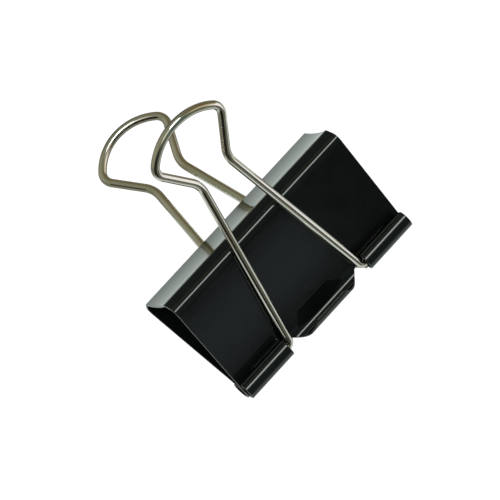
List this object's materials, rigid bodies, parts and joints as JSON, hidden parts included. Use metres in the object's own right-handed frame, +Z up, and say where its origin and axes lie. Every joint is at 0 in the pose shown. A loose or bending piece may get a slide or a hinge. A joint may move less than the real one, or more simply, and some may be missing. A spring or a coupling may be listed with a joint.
{
  "type": "binder clip",
  "caption": "Foldback clip: a black spring-steel body with curled gripping lips and looped wire handles that fold flat or lever the jaws open to hold paper.",
  "frame": {"origin": "on the surface that the clip lies on, under the middle of its box", "axes": "+X along the lips, +Y from the lips towards the spine and the handle heads, +Z up; the clip lies on its rear curl and rear handle"},
  "size_m": [0.051, 0.065, 0.0542],
  "materials": {
    "enamel": "gloss black enamel on spring steel",
    "wire": "bright nickel plate on drawn steel wire"
  },
  "bodies": {
    "spine": {"spine": "enamel"},
    "front_jaw": {"front_jaw": "enamel"},
    "rear_jaw": {"rear_jaw": "enamel"},
    "front_handle": {"front_handle": "wire"},
    "rear_handle": {"rear_handle": "wire"}
  },
  "joints": [
    {"name": "front_jaw_open", "type": "hinge", "parent": "spine", "child": "front_jaw", "pos_m": [0, -0.00953, 0.02421], "axis": [-1, 0, 0], "range_deg": [0, 26], "stiffness_Nm_per_rad": 0.5},
    {"name": "rear_jaw_open", "type": "hinge", "parent": "spine", "child": "rear_jaw", "pos_m": [0, -0.00128, 0.00677], "axis": [1, 0, 0], "range_deg": [0, 26], "stiffness_Nm_per_rad": 0.5},
    {"name": "front_handle_swing", "type": "hinge", "parent": "front_jaw", "child": "front_handle", "pos_m": [0, -0.03034, 0.00613], "axis": [1, 0, 0], "range_deg": [0, 153]},
    {"name": "rear_handle_swing", "type": "hinge", "parent": "rear_jaw", "child": "rear_handle", "pos_m": [0, -0.02845, 0.00215], "axis": [-1, 0, 0], "range_deg": [0, 153]}
  ],
  "couplings": [
    {"joint": "rear_jaw_open", "follows": "front_jaw_open", "ratio": 1}
  ]
}
